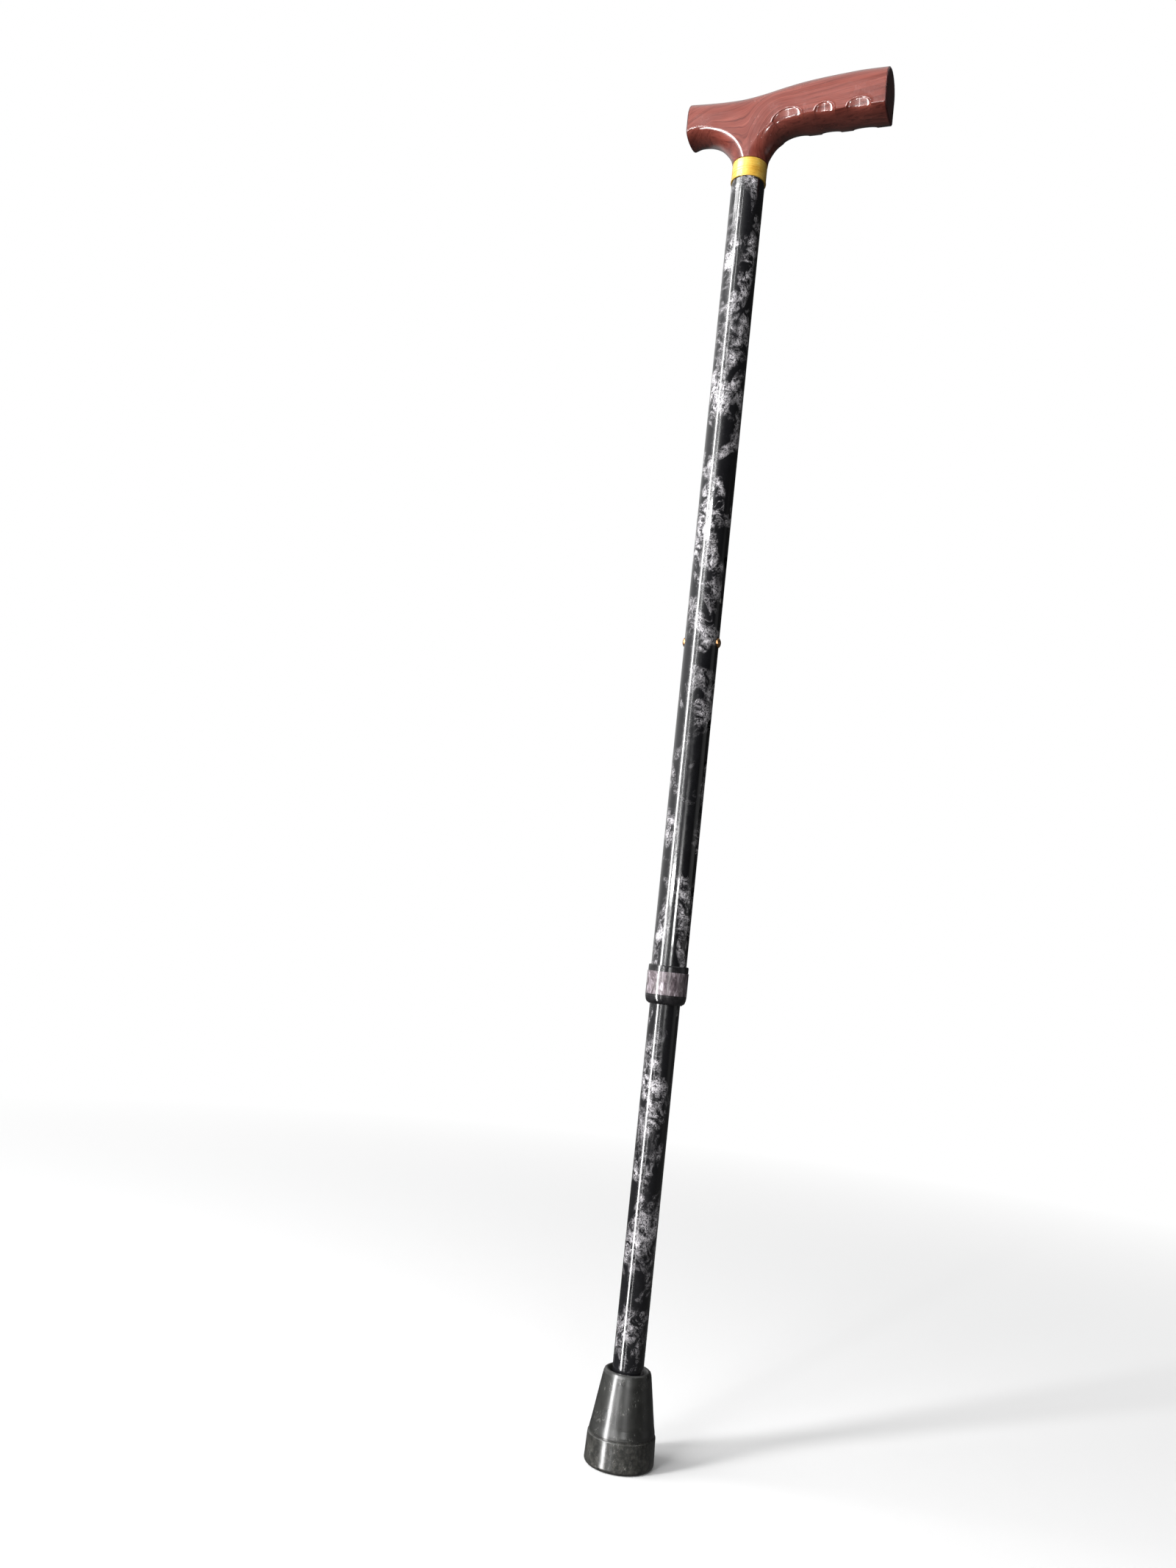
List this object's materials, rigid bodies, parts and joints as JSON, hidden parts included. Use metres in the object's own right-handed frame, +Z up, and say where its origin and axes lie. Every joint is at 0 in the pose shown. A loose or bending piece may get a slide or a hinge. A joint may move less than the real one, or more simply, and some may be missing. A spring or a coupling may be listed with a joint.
{
  "type": "single point cane",
  "caption": "Height-adjustable walking cane with a T-shaped palm handle, a telescoping shaft held by sprung buttons and a lock nut, and a rubber tip.",
  "frame": {"origin": "centre of the rubber tip's sole, on the floor", "axes": "+Z up along the shaft, +X the way that the handle's long arm points, +Y across the handle"},
  "size_m": [0.1284, 0.04, 0.8437],
  "materials": {
    "handle_plastic": "glossy moulded wood grain",
    "cap_plastic": "glossy, dark maroon",
    "stem_aluminium": "as turned",
    "plain_steel": "zinc plated",
    "gold": "gold anodised, fine turned",
    "black_marble": "gloss black with pale marble wisps",
    "black_plastic": "gloss black",
    "bush_plastic": "matt moulded",
    "natural_nylon": "natural nylon",
    "pale_marble": "grey and mauve marble, lacquered",
    "spring_steel": "spring temper",
    "button_brass": "worn copper brass",
    "tip_rubber": "dark grey, satin"
  },
  "bodies": {
    "upper_shaft": {"handle_body": "handle_plastic", "handle_cap_long": "cap_plastic", "handle_cap_short": "cap_plastic", "handle_stem": "stem_aluminium", "stem_pin": "plain_steel", "gold_collar": "gold", "outer_tube": "black_marble", "thread_bush": "bush_plastic"},
    "lower_shaft": {"inner_tube": "black_marble", "glide_plug": "natural_nylon", "snap_spring": "spring_steel", "tip_washer": "plain_steel", "rubber_tip": "tip_rubber"},
    "button_right": {"snap_button_right": "button_brass"},
    "button_left": {"snap_button_left": "button_brass"},
    "clamp": {"clamp_ring": "natural_nylon"},
    "nut": {"lock_nut": "black_plastic", "nut_band": "pale_marble"}
  },
  "joints": [
    {"name": "height", "type": "slide", "parent": "upper_shaft", "child": "lower_shaft", "axis": [0, 0, -1], "range_m": [-0.0508, 0.1778], "deforming": ["snap_spring", "snap_button_right", "snap_button_left"]},
    {"name": "press_right", "type": "slide", "parent": "lower_shaft", "child": "button_right", "axis": [-1, 0, 0], "range_m": [0, 0.0032], "stiffness_N_per_m": 3000, "springref_m": -0.002},
    {"name": "press_left", "type": "slide", "parent": "lower_shaft", "child": "button_left", "axis": [1, 0, 0], "range_m": [0, 0.0032], "stiffness_N_per_m": 3000, "springref_m": -0.002},
    {"name": "nut_travel", "type": "slide", "parent": "upper_shaft", "child": "clamp", "axis": [0, 0, -1], "range_m": [0, 0.0015]},
    {"name": "nut_turn", "type": "hinge", "parent": "clamp", "child": "nut", "pos_m": [0, 0, 0.27], "axis": [0, 0, -1], "range_deg": [0, 360]}
  ],
  "couplings": [
    {"joint": "nut_turn", "follows": "nut_travel", "rad_per_m": 4188.8}
  ]
}
